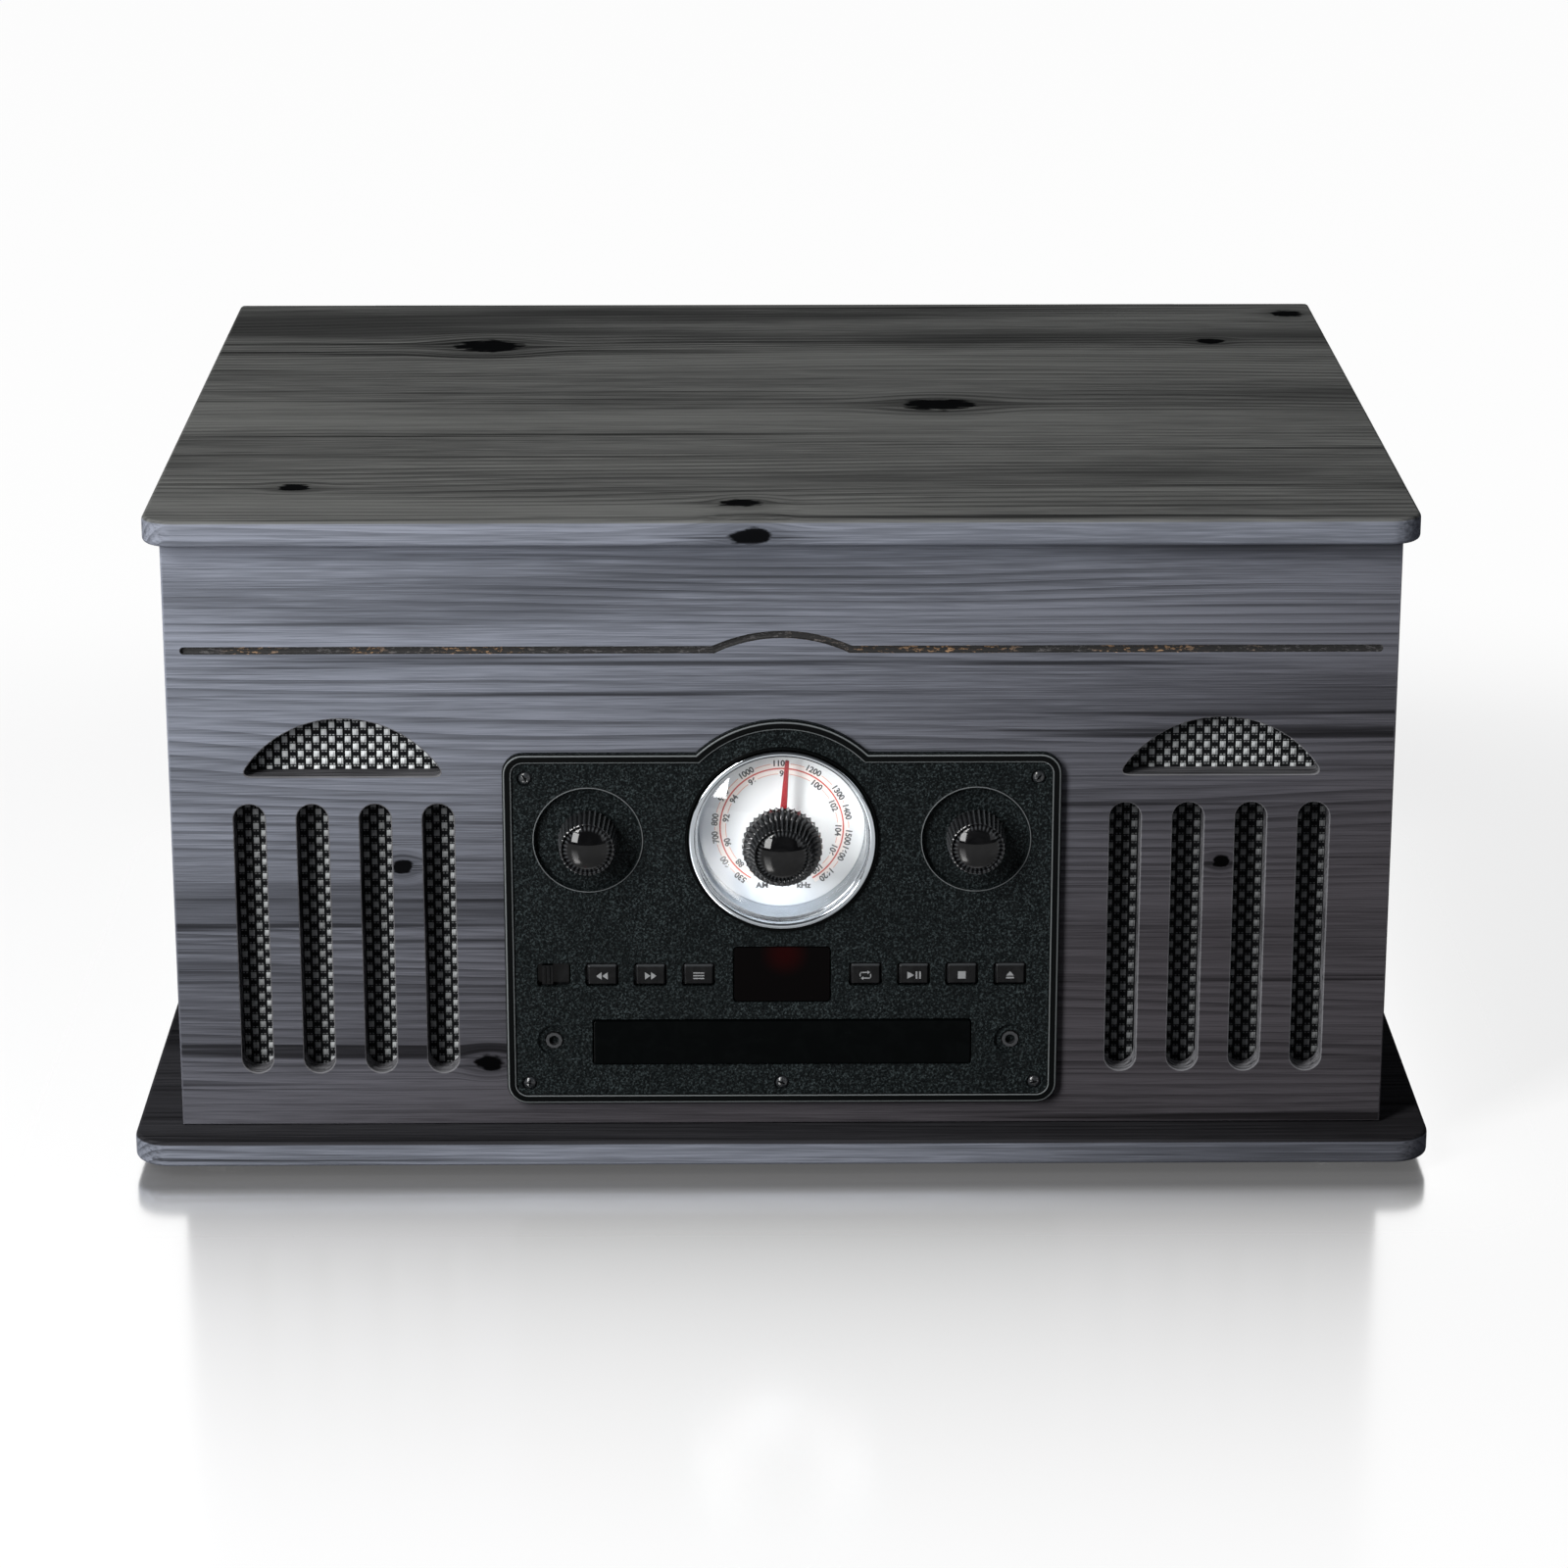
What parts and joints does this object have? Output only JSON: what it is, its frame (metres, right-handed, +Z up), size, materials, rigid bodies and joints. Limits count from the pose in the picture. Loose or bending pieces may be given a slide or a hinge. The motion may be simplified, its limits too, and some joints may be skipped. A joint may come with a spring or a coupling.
{
  "type": "record player with speakers",
  "caption": "Stained wooden music centre with a hinged lid over a turntable, a round radio dial, a disc drawer, front push buttons and a loudspeaker at each side.",
  "frame": {"origin": "on the floor under the middle of the whole, from the tuning knob to the back edge of the base board", "axes": "+X to the right as seen from the front, -Y towards the front, +Z up"},
  "size_m": [0.45, 0.3698, 0.2333],
  "materials": {
    "black_wood": "black and grey stained, satin lacquered",
    "grille_cloth": "coarse silver and black weave",
    "black_plastic": "fine textured moulding",
    "gloss_black": "polished",
    "chrome_ring": "chrome plated plastic",
    "white_dial": "satin white, printed",
    "clear_lens": "clear, polished",
    "red_pointer": "polished",
    "display": "dark red filter, polished",
    "circuit_board": "solder mask green",
    "plated_steel": "zinc plated",
    "cast_aluminium": "fine turned",
    "black_rubber": "moulded",
    "speaker_black": "paper cone and black basket",
    "grey_plastic": "moulded"
  },
  "bodies": {
    "cabinet": {"base_board": "black_wood", "foot_front_left": "black_rubber", "foot_front_right": "black_rubber", "foot_rear_left": "black_rubber", "foot_rear_right": "black_rubber", "front_panel": "black_wood", "left_side_panel": "black_wood", "right_side_panel": "black_wood", "back_panel": "black_wood", "left_hinge_cabinet_leaf": "plated_steel", "right_hinge_cabinet_leaf": "plated_steel", "lid_stay_rail": "plated_steel", "left_loudspeaker": "speaker_black", "right_loudspeaker": "speaker_black", "left_grille_cloth": "grille_cloth", "right_grille_cloth": "grille_cloth", "fascia": "black_plastic", "dial_trim_ring": "chrome_ring", "dial_face": "white_dial", "dial_lens": "clear_lens", "display_window": "display", "control_board": "circuit_board", "headphone_jack": "grey_plastic", "line_in_jack": "grey_plastic", "disc_mechanism": "grey_plastic", "deck_plate": "black_plastic", "platter_bearing": "plated_steel", "drive_belt": "black_rubber", "platter_motor": "cast_aluminium", "tonearm_base": "black_plastic", "amplifier_board": "circuit_board", "power_transformer": "plated_steel", "connector_plate": "grey_plastic"},
    "lid": {"lid": "black_wood", "left_hinge_lid_leaf": "plated_steel", "right_hinge_lid_leaf": "plated_steel", "lid_stay_bracket": "plated_steel"},
    "stay_arm": {"lid_stay_arm": "plated_steel"},
    "platter": {"platter": "cast_aluminium", "platter_mat": "black_rubber"},
    "motor_pulley": {"motor_pulley": "cast_aluminium"},
    "tonearm_gimbal": {"tonearm_gimbal": "cast_aluminium"},
    "tonearm": {"tonearm": "cast_aluminium"},
    "cue_lever": {"cue_lever": "black_plastic"},
    "speed_switch": {"speed_switch": "gloss_black"},
    "tuning_knob": {"tuning_knob": "gloss_black"},
    "dial_pointer": {"dial_pointer": "red_pointer"},
    "function_knob": {"function_knob": "gloss_black"},
    "volume_knob": {"volume_knob": "gloss_black"},
    "slide_switch": {"slide_switch": "gloss_black"},
    "back_button": {"back_button": "gloss_black"},
    "forward_button": {"forward_button": "gloss_black"},
    "program_button": {"program_button": "gloss_black"},
    "repeat_button": {"repeat_button": "gloss_black"},
    "play_button": {"play_button": "gloss_black"},
    "stop_button": {"stop_button": "gloss_black"},
    "eject_button": {"eject_button": "gloss_black"},
    "disc_drawer": {"disc_drawer": "gloss_black"},
    "disc_spindle": {"disc_spindle": "grey_plastic"},
    "laser_sled": {"laser_sled": "grey_plastic"}
  },
  "joints": [
    {"name": "lid_hinge", "type": "hinge", "parent": "cabinet", "child": "lid", "pos_m": [0, 0.17835, 0.219], "axis": [-1, 0, 0], "range_deg": [0, 75]},
    {"name": "lid_stay_pivot", "type": "hinge", "parent": "lid", "child": "stay_arm", "pos_m": [-0.1969, 0.06835, 0.219], "axis": [-1, 0, 0], "range_deg": [-150, 0]},
    {"name": "platter_spin", "type": "hinge", "parent": "cabinet", "child": "platter", "pos_m": [-0.035, 0.00135, 0.1741], "axis": [0, 0, -1], "continuous": true},
    {"name": "pulley_spin", "type": "hinge", "parent": "cabinet", "child": "motor_pulley", "pos_m": [-0.11294, 0.04635, 0.1758], "axis": [0, 0, -1], "continuous": true},
    {"name": "tonearm_swing", "type": "hinge", "parent": "cabinet", "child": "tonearm_gimbal", "pos_m": [0.145, 0.08135, 0.1986], "axis": [0, 0, -1], "range_deg": [0, 50]},
    {"name": "tonearm_lift", "type": "hinge", "parent": "tonearm_gimbal", "child": "tonearm", "pos_m": [0.145, 0.08135, 0.205], "axis": [-1, 0, 0], "range_deg": [0, 3]},
    {"name": "cue_lever_turn", "type": "hinge", "parent": "cabinet", "child": "cue_lever", "pos_m": [0.1643, 0.07535, 0.1863], "axis": [-1, 0, 0], "range_deg": [0, 45]},
    {"name": "speed_switch_slide", "type": "slide", "parent": "cabinet", "child": "speed_switch", "axis": [1, 0, 0], "range_m": [0, 0.008]},
    {"name": "tuning_knob_turn", "type": "hinge", "parent": "cabinet", "child": "tuning_knob", "pos_m": [0, -0.16435, 0.1195], "axis": [0, 1, 0], "range_deg": [-438, 402]},
    {"name": "dial_pointer_turn", "type": "hinge", "parent": "cabinet", "child": "dial_pointer", "pos_m": [0, -0.15685, 0.1195], "axis": [0, 1, 0], "range_deg": [-146, 134]},
    {"name": "function_knob_turn", "type": "hinge", "parent": "cabinet", "child": "function_knob", "pos_m": [-0.0664, -0.16435, 0.1195], "axis": [0, 1, 0], "range_deg": [0, 90]},
    {"name": "volume_knob_turn", "type": "hinge", "parent": "cabinet", "child": "volume_knob", "pos_m": [0.0664, -0.16435, 0.1195], "axis": [0, 1, 0], "range_deg": [0, 300]},
    {"name": "slide_switch_slide", "type": "slide", "parent": "cabinet", "child": "slide_switch", "axis": [1, 0, 0], "range_m": [0, 0.0045]},
    {"name": "back_press", "type": "slide", "parent": "cabinet", "child": "back_button", "axis": [0, 1, 0], "range_m": [0, 0.001], "stiffness_N_per_m": 300},
    {"name": "forward_press", "type": "slide", "parent": "cabinet", "child": "forward_button", "axis": [0, 1, 0], "range_m": [0, 0.001], "stiffness_N_per_m": 300},
    {"name": "program_press", "type": "slide", "parent": "cabinet", "child": "program_button", "axis": [0, 1, 0], "range_m": [0, 0.001], "stiffness_N_per_m": 300},
    {"name": "repeat_press", "type": "slide", "parent": "cabinet", "child": "repeat_button", "axis": [0, 1, 0], "range_m": [0, 0.001], "stiffness_N_per_m": 300},
    {"name": "play_press", "type": "slide", "parent": "cabinet", "child": "play_button", "axis": [0, 1, 0], "range_m": [0, 0.001], "stiffness_N_per_m": 300},
    {"name": "stop_press", "type": "slide", "parent": "cabinet", "child": "stop_button", "axis": [0, 1, 0], "range_m": [0, 0.001], "stiffness_N_per_m": 300},
    {"name": "eject_press", "type": "slide", "parent": "cabinet", "child": "eject_button", "axis": [0, 1, 0], "range_m": [0, 0.001], "stiffness_N_per_m": 300},
    {"name": "disc_drawer_slide", "type": "slide", "parent": "cabinet", "child": "disc_drawer", "axis": [0, -1, 0], "range_m": [0, 0.135]},
    {"name": "disc_spindle_spin", "type": "hinge", "parent": "cabinet", "child": "disc_spindle", "pos_m": [0, -0.09445, 0.0439], "axis": [0, 0, -1], "continuous": true},
    {"name": "laser_sled_slide", "type": "slide", "parent": "cabinet", "child": "laser_sled", "axis": [0, 1, 0], "range_m": [0, 0.03]}
  ],
  "couplings": [
    {"joint": "lid_stay_pivot", "follows": "lid_hinge", "ratio": -2},
    {"joint": "pulley_spin", "follows": "platter_spin", "ratio": 12},
    {"joint": "cue_lever_turn", "follows": "tonearm_lift", "ratio": 15},
    {"joint": "dial_pointer_turn", "follows": "tuning_knob_turn", "ratio": 0.33333}
  ]
}
